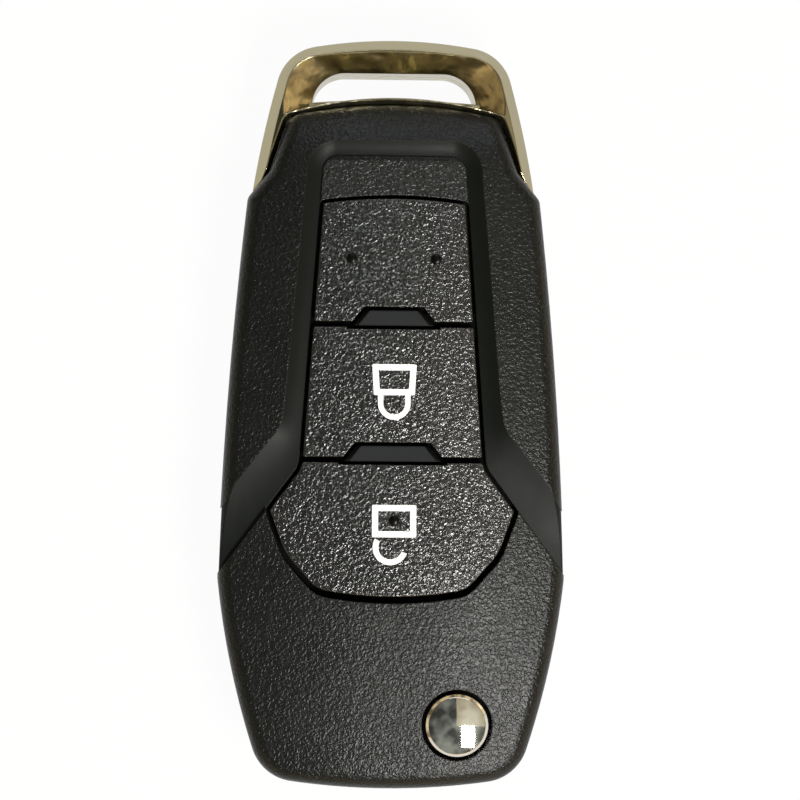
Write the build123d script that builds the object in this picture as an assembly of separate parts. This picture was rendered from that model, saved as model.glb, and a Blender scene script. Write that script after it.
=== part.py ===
from build123d import *
import math
import os

# Folding key fob, lying on its back.
# +Z comes up out of the key face, +Y runs to the key-ring loop, +X is right as seen from the keys.
# The origin is on the surface that the fob lies on, under the middle of its outline.
# All lengths are in millimetres, and angles in degrees.

# Outline of both covers, right half
foot_y = -40.3
foot_corner = (13.7, -39.15)
foot_corner_radius = 5.0
flank_bow = (16.75, -29.0)
widest = (18.65, -17.8)
widest_radius = 7.0
side_bow = (17.55, 3.5)
shoulder = (15.75, 23.0)
shoulder_radius = 1.4
neck_root = (13.35, 25.9)
neck_root_radius = 1.2
neck_tip = (11.3, 31.9)
neck_tip_radius = 1.6
neck_end_y = 33.2

# Front face: a long crown that bends down over the neck
crown_y = -14.0
crown_long_radius = 500.0
crown_cross_radius = 110.0
neck_bend_y = 27.0
neck_bend_radius = 13.0
neck_slope = 30.0
front_rim_radius = 1.8

# Back face: flat to lie on, turned up over the neck
tail_bend_y = 27.0
tail_bend_radius = 22.0
tail_slope = 20.0
back_rim_radius = 1.6

# Moulded walls
wall = 1.6
back_wall = 1.6
rib_thickness = 1.2
rib_count = 5
lip_thickness = 0.8
lip_height = 1.0
lip_gap = 0.05
cavity_end_y = 25.2

# Height of each layer inside, from the parting plane to the front cover's ceiling
parting_height = 8.0
tray_thickness = 0.8
board_thickness = 0.8
switch_height = 0.9
plunger_proud = 0.4
mat_thickness = 0.4
flange_thickness = 0.65
flange_play = 0.05
face_thickness = 3.0
face_overrun = 3.0

# Keys, right half of the field that the three share
key_names = ("blank_key", "lock_key", "unlock_key")
key_gap = 0.38
field_top_y = 22.35
field_top_half = 7.6
field_top_bulge = 0.55
field_waist = (9.65, -5.9)
field_wing = (13.15, -10.6)
field_flank = (11.4, -15.35)
field_toe = (8.0, -19.15)
field_foot_y = -19.95
waist_radius = 3.0
wing_radius = 0.5
flank_radius = 6.0
toe_radius = 3.0
toe_gap = 0.35
key_corner_radius = 0.25
corner_cosine = 0.97
key_edge_radius = 0.18
rim_slope = 0.8
key_drop = 0.3
key_travel = 0.45
key_split = 0.55
split_y = (9.42, -5.05)
flange_width = 0.7
unlock_tilt = 2.4
pip_radius = 0.55
pip_height = 0.15
pip_place = (4.5, 16.4)

# Crossbars between the keys, each with a raised wedge that the thumb feels
bar_width = 2.4
bar_thickness = 0.7
bar_play = 0.15
tab_length = 1.65
tab_lean = 0.15
tab_flare = 1.3
tab_half_foot = (4.3, 5.15)
tab_foot_drop = 0.1
tab_head_drop = 0.75
tab_end_bevel = 0.4

# Smooth band round the keys
band_depth = 0.8
band_width = 1.55
band_cove = 0.16
band_overlap = 0.05
band_overcut = 1.3
band_corner_steps = 4
band_side_steps = 4
shelf_top_y = 27.5
shelf_corner_radius = 1.7
shelf_drop = 0.5
flare_depth = 0.6
flare_width = 1.85
flare_start_y = 2.0
flare_bend = (11.7, -1.75)
flare_exit = (18.35, -10.45)
flare_bend_radius = 4.0
flare_reach = 6.0
flare_steps = 36
rim_recess_depth = 0.15
rim_recess_start = 0.45
rim_recess_foot = 3.0

# Key-ring loop, a casting held in the neck by its tongue
loop_low = 2.8
loop_high = 10.8
loop_gap = 0.1
loop_root = (15.45, 22.5)
loop_side_bow = (14.2, 29.5)
loop_corner = (11.75, 38.9)
loop_corner_radius = 5.0
loop_top_y = 40.3
eye_half = 8.9
eye_foot_y = 33.6
eye_foot_bulge = 0.4
eye_side_bow = (7.9, 35.75)
eye_top_half = 5.2
eye_top_y = 36.85
dish_low = (11.9, 32.1)
dish_foot_y = 33.95
dish_side_bow = (11.75, 35.0)
dish_corner = (10.4, 38.1)
dish_corner_radius = 3.6
dish_top_y = 38.95
dish_depth = 2.4
loop_outer_bevel = (1.1, 1.5)
neck_side_bevel = 0.5
neck_bevel_taper = -45
loop_under_bevel = 0.9
tongue_thickness = 3.4
tongue_half = 9.3
tongue_foot_y = 26.0
tongue_sink = 0.2
tongue_gap = 0.1
post_radius = 1.5
post_place = (6.0, 29.2)

# Folding blade and its carrier
pivot_x = 7.1
pivot_y = -33.3
blade_offset = 6.0
blade_width = 7.2
blade_thickness = 2.4
blade_tip_y = 9.2
blade_point = 2.6
blade_edge = 0.35
blade_groove_width = 2.6
blade_groove_depth = 0.3
blade_groove_start = 2.0
blade_groove_end = 1.0
tang_width = 5.4
tang_foot_y = -32.9
slot_gap = 0.4
arm_thickness = 4.2
arm_wall = 0.9
arm_end_y = -27.0
arm_inset = 0.25
arm_gap = 0.25
hub_radius = 6.1
hub_gap = 0.3
collar_gap = 0.07
collar_play = 0.2
collar_height = 12.4
journal_radius = 2.2
journal_gap = 0.06
journal_end = 1.9
boss_radius = 4.2
boss_play = 0.1
roll_pin_radius = 0.75
roll_pin_bore = 0.3
roll_pin_slit = 0.2
roll_pin_y = -30.2
fit_gap = 0.03

# Release button and its spring
cap_radius = 3.35
cap_hole_radius = 3.8
cap_proud = 0.95
cap_bevel = 0.3
cap_dome = 0.42
button_flange_radius = 4.6
button_flange_thickness = 1.0
button_play = 0.1
button_travel = 2.0
button_skirt = 1.9
button_bore = 2.6
button_top_thickness = 1.2
lug_reach = 5.4
lug_width = 2.0
lug_gap = 0.1
cup_floor = 6.7
spring_radius = 2.15
spring_wire = 0.45
spring_turns = 5
spring_sides = 6

# Electronics
cell_radius = 10.0
cell_thickness = 3.2
cell_place = (-2.6, 2.0)
cell_gap = 0.15
cell_edge = 0.4
well_height = 3.0
strip_thickness = 0.3
strip_width = 4.0
strip_reach = 3.0
strip_gap = 0.8
board_edge_x = 8.3
board_foot_y = -22.0
board_head_y = 24.0
board_gap = 1.0
trough_thickness = 0.7
trough_foot_y = -24.0
peg_radius = 0.6
peg_shoulder = 1.2
peg_gap = 0.1
peg_places = ((-10.5, 20.0), (6.3, 21.0), (-11.5, -18.5), (5.6, -18.5))
switch_size = 4.4
switch_corner = 0.5
plunger_radius = 1.0
plunger_gap = 0.1
plunger_depth = 0.35
plunger_bevel = 0.1
lock_switch_y = 2.3
unlock_switch_y = -12.5
chip_size = 5.0
chip_height = 0.8
chip_bevel = 0.15
chip_place = (-3.0, 16.5)
crystal_length = 3.2
crystal_width = 2.5
crystal_height = 0.8
crystal_corner = 0.4
crystal_place = (3.6, 16.5)
coil_length = 8.0
coil_width = 3.0
coil_height = 1.0
coil_flange = 0.8
coil_winding_inset = 0.2
coil_place = (-7.2, -5.0)
mat_half = 10.8
mat_foot_y = -21.3
mat_head_y = 23.4
mat_corner_radius = 1.5
mat_rim = 1.0
left_mat_foot = (-15.0, 15.0)
right_mat_foot = (-19.0, 5.0)

# Heights that follow from the layers
board_low = parting_height + tray_thickness
board_high = board_low + board_thickness
switch_top = board_high + switch_height
mat_low = switch_top + plunger_proud
mat_high = mat_low + mat_thickness
flange_top = mat_high + flange_thickness
ceiling = flange_top + flange_play
crown_top = ceiling + face_thickness
bar_top = ceiling + bar_thickness
key_overhang = bar_top + key_travel + bar_play
blade_x = pivot_x + blade_offset
slot_low = parting_height - blade_thickness / 2 - slot_gap
slot_high = parting_height + blade_thickness / 2 + slot_gap
arm_low = parting_height - arm_thickness / 2
arm_high = parting_height + arm_thickness / 2
mouth_low = arm_low - arm_gap
mouth_high = arm_high + arm_gap
pocket_roof = collar_height + collar_play
flange_rest = pocket_roof - button_play
cell_low = back_wall + strip_thickness
cell_high = cell_low + cell_thickness
trough_x = board_edge_x + peg_gap
mouth_left = 2 * pivot_x - (widest[0] - wall + arm_gap)
cover_height = crown_top + face_overrun

# How near an edge lies to the place it is looked for
near = 0.01
near_face = 0.15


# Shared shapes


def round_corner(shape, place, radius):
    """Rounds the corners of a flat outline at a place and at its mirror image."""
    corners = [v for v in shape.vertices() if abs(abs(v.X) - place[0]) < near and abs(v.Y - place[1]) < near]
    return fillet(corners, radius)


def both_sides(middle, right):
    """Closed face from lines on the right, their mirror images and the lines that cross the middle."""
    left = [mirror(piece, Plane.YZ) for piece in right]
    return make_face(middle + right + left)


def prism(outline, low, high):
    return Pos(0, 0, low) * extrude(outline, high - low)


def block(low, high):
    """Box from its lowest to its highest corner."""
    size = [b - a for a, b in zip(low, high)]
    middle = [(a + b) / 2 for a, b in zip(low, high)]
    return Pos(*middle) * Box(*size)


def pillar(x, y, radius, low, high):
    return Pos(x, y, (low + high) / 2) * Cylinder(radius, high - low)


def across_profile(points, half_width):
    """Straight solid along X from an outline given as (y, z) points."""
    profile = Plane.YZ * make_face(Polyline(*points, close=True))
    return extrude(profile, half_width, both=True)


def cover_outline():
    """Plan of both covers: rounded foot, bowed sides, stepped shoulders and neck."""
    foot = ThreePointArc((-foot_corner[0], foot_corner[1]), (0, foot_y), foot_corner)
    neck_end = ThreePointArc(neck_tip, (0, neck_end_y), (-neck_tip[0], neck_tip[1]))
    right = [
        ThreePointArc(foot_corner, flank_bow, widest),
        ThreePointArc(widest, side_bow, shoulder),
        Line(shoulder, neck_root),
        Line(neck_root, neck_tip),
    ]
    outline = both_sides([foot, neck_end], right)
    for place, radius in (
        (foot_corner, foot_corner_radius),
        (widest, widest_radius),
        (shoulder, shoulder_radius),
        (neck_root, neck_root_radius),
        (neck_tip, neck_tip_radius),
    ):
        outline = round_corner(outline, place, radius)
    return outline


def inner_outline(inset):
    return offset(cover_outline(), -inset)


# Front face


def neck_start_angle():
    """Slope of the long crown where the neck bend begins, in radians."""
    return math.asin((neck_bend_y - crown_y) / crown_long_radius)


def spine_point(angle):
    """Point of the long crown at an angle from its top, as (y, z)."""
    y = crown_y + crown_long_radius * math.sin(angle)
    z = crown_top - crown_long_radius + crown_long_radius * math.cos(angle)
    return (y, z)


def neck_point(angle):
    """Point of the neck bend at an angle from upright, as (y, z)."""
    start = spine_point(neck_start_angle())
    centre_y = start[0] - neck_bend_radius * math.sin(neck_start_angle())
    centre_z = start[1] - neck_bend_radius * math.cos(neck_start_angle())
    return (centre_y + neck_bend_radius * math.sin(angle), centre_z + neck_bend_radius * math.cos(angle))


def crown_height(x, y):
    """Height of the front face at a place in plan."""
    if y <= neck_bend_y:
        spine = crown_top - crown_long_radius + math.sqrt(crown_long_radius**2 - (y - crown_y) ** 2)
    else:
        level = neck_point(0.0)
        spine = level[1] - neck_bend_radius + math.sqrt(neck_bend_radius**2 - (y - level[0]) ** 2)
    return spine - crown_cross_radius + math.sqrt(crown_cross_radius**2 - x * x)


def crown_block(drop=0.0):
    """Solid whose top is the front face, lowered by drop: an arched section swept along the fob."""
    overrun = 8.0
    block_half = widest[0] + overrun
    slope = math.radians(neck_slope)
    foot = spine_point(math.asin((foot_y - overrun - crown_y) / crown_long_radius))
    bend = neck_point(neck_start_angle())
    mid_bend = neck_point((neck_start_angle() + slope) / 2)
    neck_end = neck_point(slope)
    run_out = (neck_end[0] + overrun * math.cos(slope), neck_end[1] - overrun * math.sin(slope))
    track = (foot, spine_point(0.0), bend, mid_bend, neck_end, run_out)
    start, middle, bend, mid_bend, end, last = [Vector(0, y, z - drop) for y, z in track]
    path = Wire(
        [
            Edge.make_three_point_arc(start, middle, bend),
            Edge.make_three_point_arc(bend, mid_bend, end),
            Edge.make_line(end, last),
        ]
    )
    across = Plane(origin=start, x_dir=(1, 0, 0), z_dir=path.tangent_at(0))
    down = -1.0 if across.y_dir.Z > 0 else 1.0
    sag = down * (crown_cross_radius - math.sqrt(crown_cross_radius**2 - block_half**2))
    depth = down * (crown_top - parting_height + wall)
    arch = ThreePointArc((-block_half, sag), (0, 0), (block_half, sag))
    rest = Polyline((block_half, sag), (block_half, depth), (-block_half, depth), (-block_half, sag))
    return sweep(across * make_face([arch, rest]), path)


def is_rim(edge, low):
    """True for the curved edges where the front face meets the upright sides."""
    middle = edge @ 0.5
    on_face = abs(middle.Z - crown_height(middle.X, middle.Y)) < near_face
    return middle.Z > low and on_face and edge.geom_type == GeomType.BSPLINE


def front_blank():
    blank = prism(cover_outline(), parting_height, cover_height) & crown_block()
    return fillet([e for e in blank.edges() if is_rim(e, ceiling - wall)], front_rim_radius)


# Key field


def field_half(y):
    """Half width of the key field at a height up its straight sides."""
    slope = (field_waist[0] - field_top_half) / (field_top_y - field_waist[1])
    return field_top_half + (field_top_y - y) * slope


def field_outline():
    """Plan of the three keys together: a slim waist over a shield."""
    head = ThreePointArc(
        (field_top_half, field_top_y), (0, field_top_y + field_top_bulge), (-field_top_half, field_top_y)
    )
    foot = ThreePointArc((-field_toe[0], field_toe[1]), (0, field_foot_y), field_toe)
    corners = [(field_top_half, field_top_y), field_waist, field_wing, field_flank, field_toe]
    outline = both_sides([head, foot], [Line(a, b) for a, b in zip(corners, corners[1:])])
    for place, radius in (
        (field_waist, waist_radius),
        (field_wing, wing_radius),
        (field_flank, flank_radius),
        (field_toe, toe_radius),
        ((field_top_half, field_top_y), key_corner_radius),
    ):
        outline = round_corner(outline, place, radius)
    return outline


def slab(low_y, high_y):
    """Wide strip in plan between two heights up the fob."""
    middle = (low_y + high_y) / 2
    return Pos(0, middle) * Rectangle(4 * widest[0], high_y - low_y)


def tab_outline(index, grow=0.0):
    """Plan of a divider tab: a low trapezoid with its wide side to the foot."""
    foot = split_y[index] - tab_lean
    head = foot + tab_length
    wide = tab_half_foot[index]
    narrow = wide - tab_flare
    corners = ((-wide, foot), (wide, foot), (narrow, head), (-narrow, head))
    shape = make_face(Polyline(*corners, close=True))
    return offset(shape, grow, kind=Kind.INTERSECTION) if grow else shape


def key_limits(name, cut_back=key_split / 2):
    """Lowest and highest place of a key up the fob, a little back from the splits beside it."""
    index = key_names.index(name)
    ends = (field_top_y + wall,) + split_y + (field_foot_y - wall,)
    high = ends[index] - (cut_back if index > 0 else 0)
    low = ends[index + 1] + (cut_back if index < len(split_y) else 0)
    return low, high


def key_shaft_plan(name):
    """Plan of a key's lower part, which clears the crossbars."""
    return field_outline() & slab(*key_limits(name, bar_width / 2 + key_gap))


def key_face(name):
    """Solid under a key's face. The lowest key tilts, so its toe stands proud."""
    face = crown_block(key_drop)
    if name != "unlock_key":
        return face
    hinge = (0, key_limits(name)[1], crown_height(0, key_limits(name)[1]) - key_drop)
    back = tuple(-v for v in hinge)
    return Pos(*hinge) * Rot(-unlock_tilt, 0, 0) * Pos(*back) * face


def sharp_corners(plan):
    """Corners of a flat outline where two lines meet at a visible angle."""
    corners = []
    for vertex in plan.vertices():
        here = vertex.center()
        tangents = [e % 0 for e in plan.edges() if (e @ 0 - here).length < 0.001]
        tangents += [e % 1 for e in plan.edges() if (e @ 1 - here).length < 0.001]
        if len(tangents) == 2 and abs(tangents[0].dot(tangents[1])) < corner_cosine:
            corners.append(vertex)
    return corners


def make_key(name):
    """Key with a rounded face, cut back under its ends for the crossbars, on a wide flange."""
    plan = field_outline() & slab(*key_limits(name))
    plan = fillet(sharp_corners(plan), key_corner_radius)
    if name == "unlock_key":
        plan = plan & Pos(0, toe_gap) * field_outline()
    key = prism(plan, flange_top, cover_height) & key_face(name)
    rim = [e for e in key.edges() if (e @ 0.5).Z > bar_top and abs((e % 0.5).Z) < rim_slope]
    key = fillet(rim, key_edge_radius)
    for index, split in enumerate(split_y):
        key -= prism(tab_outline(index, key_gap), flange_top, cover_height)
        bar_room = bar_width / 2 + key_gap
        key -= prism(slab(split - bar_room, split + bar_room), flange_top, key_overhang)
    return key + prism(offset(key_shaft_plan(name), flange_width), mat_high, flange_top)


def make_blank_key():
    """The top key has no symbol, and two pips that tell it by touch."""
    key = make_key("blank_key")
    for side in (-1, 1):
        x, y = side * pip_place[0], pip_place[1]
        top = crown_height(x, y) - key_drop
        pip = pillar(x, y, pip_radius, top - pip_radius, top + pip_height)
        key += chamfer(pip.edges().sort_by(Axis.Z)[-1], pip_height)
    return key


# Smooth band round the keys


def band_section(foot, crease, depth):
    """Upright cut across the band: what lies above its hollow slope is taken away."""
    low = Vector(foot[0], foot[1], crown_height(*foot) - depth)
    high = Vector(crease[0], crease[1], crown_height(*crease))
    past = low + (high - low) * band_overcut
    middle = (low + past) / 2 - Vector(0, 0, band_cove)
    upright = Polyline(past, Vector(past.X, past.Y, cover_height), Vector(low.X, low.Y, cover_height), low)
    return make_face([ThreePointArc(low, middle, past), upright])


def band_foot_half(y):
    """Half width of the band's foot, which overlaps the keyway a little."""
    return field_half(y) + key_gap - band_overlap


def band_beside(y):
    """Section of the band at a height up the keyway's straight side. It widens towards the flare."""
    half = band_foot_half(y)
    top_y = shelf_top_y - shelf_corner_radius
    width = band_width + (flare_width - band_width) * (top_y - y) / (top_y - flare_start_y)
    return band_section((half, y), (half + width, y), band_depth)


def band_round(angle):
    """Section of the band at an angle round the shelf's corner."""
    across = math.cos(math.radians(angle))
    along = math.sin(math.radians(angle))
    foot_radius = shelf_corner_radius - band_overlap
    crease_radius = foot_radius + band_width
    centre_y = shelf_top_y - shelf_corner_radius
    centre_x = band_foot_half(centre_y) - foot_radius
    foot = (centre_x + across * foot_radius, centre_y + along * foot_radius)
    crease = (centre_x + across * crease_radius, centre_y + along * crease_radius)
    return band_section(foot, crease, band_depth)


def waist_corner(out):
    """Corner of the key field's waist, moved out evenly from both of its lines."""
    waist = Vector(*field_waist)
    side = (waist - Vector(field_top_half, field_top_y)).normalized()
    slant = (Vector(*field_wing) - waist).normalized()
    both = Vector(-side.Y - slant.Y, side.X + slant.X)
    return waist + both * out / (1 + side.dot(slant))


def flare_foot():
    """Lower line of the flare in plan: beside the keys, round the waist and straight out past the side."""
    out = key_gap - band_overlap
    waist = waist_corner(out)
    slant = (Vector(*field_wing) - Vector(*field_waist)).normalized()
    run = (flare_exit[0] + flare_reach - waist.X) / slant.X
    start = Vector(band_foot_half(flare_start_y), flare_start_y)
    return FilletPolyline(start, waist, waist + slant * run, radius=waist_radius - out)


def flare_crease():
    """Upper line of the flare in plan."""
    start = Vector(band_foot_half(flare_start_y) + flare_width, flare_start_y)
    bend = Vector(*flare_bend)
    slant = (Vector(*flare_exit) - bend).normalized()
    end = Vector(*flare_exit) + slant * flare_reach / slant.X
    return FilletPolyline(start, bend, end, radius=flare_bend_radius)


def flare_section(share):
    """Section of the flare at a share of the way along both of its lines."""
    foot = flare_foot() @ share
    crease = flare_crease() @ share
    depth = band_depth + (flare_depth - band_depth) * share
    return band_section((foot.X, foot.Y), (crease.X, crease.Y), depth)


def band_cutters():
    """Hollow over the right half of the band, lofted through upright sections round the keys."""
    head_y = shelf_top_y - band_overlap
    head = band_section((0, head_y), (0, head_y + band_width), band_depth)
    corner = [band_round(90 * step / band_corner_steps) for step in range(band_corner_steps + 1)]
    side_length = shelf_top_y - shelf_corner_radius - flare_start_y
    shares = [step / band_side_steps for step in range(band_side_steps + 1)]
    side = [band_beside(flare_start_y + side_length * share) for share in shares]
    flare = [flare_section(step / flare_steps) for step in range(flare_steps + 1)]
    return [loft([head, corner[-1]], ruled=True), loft(corner), loft(side), loft(flare)]


def rim_recess():
    """Shallow recess that carries the right flare over the rim and down the side."""
    foot = flare_foot()
    crease = flare_crease()
    corners = (crease @ rim_recess_start, crease @ 1, foot @ 1, foot @ rim_recess_start)
    zone = prism(make_face(Polyline(*corners, close=True)), rim_recess_foot, cover_height)
    return zone - prism(inner_outline(rim_recess_depth), 0, cover_height)


def shelf_hollow():
    """Space over the shelf, inside the band's foot."""
    half = field_half(shelf_top_y) + key_gap
    low_half = field_half(field_top_y) + key_gap
    corners = ((-low_half, field_top_y), (-half, shelf_top_y), (half, shelf_top_y), (low_half, field_top_y))
    plan = make_face(Polyline(*corners, close=True))
    plan = round_corner(plan, (half, shelf_top_y), shelf_corner_radius)
    return prism(plan, ceiling, cover_height) - crown_block(shelf_drop)


# Front cover


def mechanism_mouth():
    """Space that the carrier's arm sweeps, open to the fob's lower right corner."""
    reach = 2 * widest[0]
    below = block((mouth_left, foot_y - wall, mouth_low), (reach, pivot_y + arm_gap, mouth_high))
    inner = blade_x - blade_width / 2 - arm_wall - arm_gap
    beside = block((inner, pivot_y, mouth_low), (reach, arm_end_y + arm_gap, mouth_high))
    round_hub = pillar(pivot_x, pivot_y, hub_radius + hub_gap, mouth_low, mouth_high)
    return below + beside + round_hub


def blade_slot():
    """Space of the folded blade, open along the fob's right side."""
    inner = blade_x - blade_width / 2 - slot_gap
    return block((inner, pivot_y, slot_low), (2 * widest[0], blade_tip_y + slot_gap, slot_high))


def mechanism_block():
    """Corner of the covers that stays solid to carry the blade's pivot."""
    top = arm_end_y + arm_gap + wall
    return block((mouth_left - wall, foot_y - wall, 0), (2 * widest[0], top, cover_height))


def lip_plan(grow=0.0):
    """Plan of the rear cover's lip: the inner half of the wall, up the left side and round the foot."""
    ring = inner_outline(wall - lip_thickness - grow) - inner_outline(wall)
    right = mouth_left - wall + grow
    side = Pos(right - 2 * widest[0], 0) * Rectangle(4 * widest[0], 8 * widest[0])
    return ring & side & slab(foot_y, cavity_end_y - lip_thickness + grow)


def neck_pocket():
    """Space between the two necks for the loop's tongue."""
    half = tongue_half + tongue_gap
    low = parting_height - tongue_thickness / 2 - tongue_gap
    high = parting_height + tongue_thickness / 2 + tongue_gap
    return block((-half, tongue_foot_y - tongue_gap, low), (half, neck_end_y + wall, high))


def crossbar(index):
    """Bar under the split between two keys, with the wedge that stands up through it."""
    split = split_y[index]
    half = field_half(split) + key_gap + wall
    bar = block((-half, split - bar_width / 2, ceiling), (half, split + bar_width / 2, bar_top))
    foot = split - tab_lean
    head = foot + tab_length
    profile = (
        (foot, ceiling),
        (foot, crown_height(0, foot) - tab_foot_drop),
        (head, crown_height(0, head) - tab_head_drop),
        (head, ceiling),
    )
    wedge = across_profile(profile, widest[0]) & prism(tab_outline(index), ceiling, cover_height)
    ends = [e for e in wedge.edges() if (e @ 0.5).Z > bar_top and is_slanting(e)]
    return bar + chamfer(ends, tab_end_bevel)


def is_slanting(edge):
    """True for an edge that runs neither along the fob nor across it in plan."""
    run = edge % 0.5
    return min(abs(run.X), abs(run.Y)) > 2 * near_face


def keyways():
    """Openings that the keys travel in: one wide mouth, over a lower opening for each key."""
    mouth = prism(offset(field_outline(), key_gap), bar_top, cover_height)
    for name in key_names:
        shaft = offset(key_shaft_plan(name), key_gap)
        mouth += prism(shaft, ceiling - wall, bar_top)
    return mouth


def make_front_cover():
    """Front moulding: crowned face, band, shelf and keyways outside, ribs and bearings inside."""
    cover = front_blank()
    for cutter in band_cutters() + [rim_recess()]:
        cover -= cutter
        cover -= mirror(cutter, Plane.YZ)
    cover -= shelf_hollow()
    inside = prism(inner_outline(wall) & slab(foot_y, cavity_end_y), parting_height, ceiling)
    cover -= inside - mechanism_block()
    cover -= prism(lip_plan(lip_gap), parting_height, parting_height + lip_height + lip_gap)
    cover -= keyways()
    for index in range(len(split_y)):
        cover += crossbar(index)
    cover -= mechanism_mouth()
    cover -= blade_slot()
    cover -= neck_pocket()
    cover -= pillar(pivot_x, pivot_y, hub_radius + collar_gap, mouth_low, pocket_roof)
    cover -= pillar(pivot_x, pivot_y, cap_hole_radius, mouth_low, cover_height)
    return cover


# Rear cover


def back_block():
    """Solid over the back face: flat, then turned up over the neck."""
    slope = math.radians(tail_slope)
    run = neck_end_y + wall
    half_turn = (
        tail_bend_y + tail_bend_radius * math.sin(slope / 2),
        tail_bend_radius * (1 - math.cos(slope / 2)),
    )
    end = (tail_bend_y + tail_bend_radius * math.sin(slope), tail_bend_radius * (1 - math.cos(slope)))
    start = (foot_y - wall, 0)
    last = (run + tail_bend_radius, end[1] + (run + tail_bend_radius - end[0]) * math.tan(slope))
    lines = [
        Line(start, (tail_bend_y, 0)),
        ThreePointArc((tail_bend_y, 0), half_turn, end),
        Line(end, last),
        Polyline(last, (last[0], cover_height), (start[0], cover_height), start),
    ]
    return extrude(Plane.YZ * make_face(lines), 2 * widest[0], both=True)


def rear_blank():
    blank = prism(cover_outline(), 0, parting_height) & back_block()
    rim = [e for e in blank.edges() if is_back_rim(e)]
    return fillet(rim, back_rim_radius)


def is_back_rim(edge):
    """True for the curved edges where the back face meets the upright sides."""
    middle = edge @ 0.5
    upright = abs((edge % 0.5).Z) > 0.9
    across = edge.geom_type == GeomType.LINE and abs((edge % 0.5).X) > 0.99
    return middle.Z < parting_height / 2 and not upright and not across


def cell_well():
    """Two curved walls that hold the coin cell."""
    x, y = cell_place
    inner = cell_radius + cell_gap
    ring = pillar(x, y, inner + rib_thickness, back_wall, back_wall + well_height)
    ring -= pillar(x, y, inner, back_wall, back_wall + well_height)
    reach = cell_radius - strip_reach
    return ring & block((x - 2 * inner, y - reach, 0), (x + 2 * inner, y + reach, parting_height))


def blade_ribs():
    """Wall and cross ribs that carry the tray's edge and the folded blade."""
    top = slot_low
    wall_x = trough_x
    ribs = block((wall_x, trough_foot_y, back_wall), (wall_x + trough_thickness, cavity_end_y, top))
    first = arm_end_y + arm_gap + 2 * wall
    pitch = (blade_tip_y - first) / (rib_count - 1)
    for index in range(rib_count):
        y = first + index * pitch
        ribs += block((wall_x, y, back_wall), (2 * widest[0], y + rib_thickness, top))
    return ribs


def make_rear_cover():
    """Back moulding: flat back outside, cell well, ribs, pegs and pivot bearing inside."""
    cover = rear_blank()
    cover -= rim_recess()
    cover -= mirror(rim_recess(), Plane.YZ)
    room = inner_outline(wall) & slab(foot_y, cavity_end_y)
    cover -= prism(room, back_wall, parting_height) - mechanism_block()
    inside = prism(inner_outline(wall - near), 0, parting_height)
    cover += (cell_well() + blade_ribs()) & inside
    cover += prism(lip_plan(), parting_height, parting_height + lip_height)
    for x, y in peg_places:
        cover += pillar(x, y, peg_shoulder, back_wall, parting_height)
        cover += pillar(x, y, peg_radius, parting_height, board_high + peg_radius)
    cover -= mechanism_mouth()
    cover += pillar(pivot_x, pivot_y, boss_radius, back_wall, arm_low - boss_play)
    cover -= pillar(pivot_x, pivot_y, journal_radius + journal_gap, back_wall, arm_low)
    cover -= blade_slot()
    cover -= neck_pocket()
    for side in (-1, 1):
        x, y = side * post_place[0], post_place[1]
        low = parting_height - tongue_thickness / 2 - tongue_gap
        cover += pillar(x, y, post_radius, low, parting_height + tongue_thickness / 2)
    return cover


# Key-ring loop


def loop_outline():
    """Plan of the loop's outer edge, run down to the shoulders of the covers."""
    top = ThreePointArc(loop_corner, (0, loop_top_y), (-loop_corner[0], loop_corner[1]))
    foot = Line((-loop_root[0], loop_root[1]), loop_root)
    outline = both_sides([top, foot], [ThreePointArc(loop_root, loop_side_bow, loop_corner)])
    return round_corner(outline, loop_corner, loop_corner_radius)


def eye_outline():
    """Plan of the slot for the split ring: a flat arched opening."""
    low = (eye_half, eye_foot_y)
    high = (eye_top_half, eye_top_y)
    foot = ThreePointArc((-low[0], low[1]), (0, eye_foot_y + eye_foot_bulge), low)
    top = Line(high, (-high[0], high[1]))
    side = ThreePointArc(low, eye_side_bow, high)
    return both_sides([foot, top], [side.trim(0, 0.5), side.trim(0.5, 1)])


def dish_outline():
    """Plan of the dish round the slot where it meets the loop's ridge."""
    foot = ThreePointArc((-dish_low[0], dish_low[1]), (0, dish_foot_y), dish_low)
    top = ThreePointArc(dish_corner, (0, dish_top_y), (-dish_corner[0], dish_corner[1]))
    outline = both_sides([foot, top], [ThreePointArc(dish_low, dish_side_bow, dish_corner)])
    return round_corner(outline, dish_corner, dish_corner_radius)


def make_key_ring_loop():
    """Cast loop, dished down to its slot and bevelled round the neck, and its tongue with two post holes."""
    ring = prism(loop_outline(), loop_low, loop_high)
    outer = [e for e in ring.edges().group_by(Axis.Z)[-1] if not is_straight_foot(e)]
    top = ring.faces().sort_by(Axis.Z)[-1]
    ring = chamfer(outer, loop_outer_bevel[0], loop_outer_bevel[1], reference=top)
    under = [e for e in ring.edges().group_by(Axis.Z)[0] if not is_straight_foot(e)]
    ring = chamfer(under, loop_under_bevel)
    ring -= prism(eye_outline(), 0, cover_height)
    dish_foot = Pos(0, 0, loop_high - dish_depth) * eye_outline()
    ring -= loft([dish_foot, Pos(0, 0, loop_high) * dish_outline()], ruled=True)
    neck = offset(cover_outline(), loop_gap)
    ring -= prism(neck, 0, cover_height)
    bevel_low = loop_high - neck_side_bevel
    ring -= Pos(0, 0, bevel_low) * extrude(neck, neck_side_bevel, taper=neck_bevel_taper)
    low = parting_height - tongue_thickness / 2
    high = parting_height + tongue_thickness / 2
    tongue = block((-tongue_half, tongue_foot_y, low), (tongue_half, eye_foot_y - tongue_sink, high))
    ring += tongue
    for side in (-1, 1):
        ring -= pillar(side * post_place[0], post_place[1], post_radius + fit_gap, low, high)
    return ring


def is_straight_foot(edge):
    return abs((edge @ 0.5).Y - loop_root[1]) < near


# Folding blade


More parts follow.
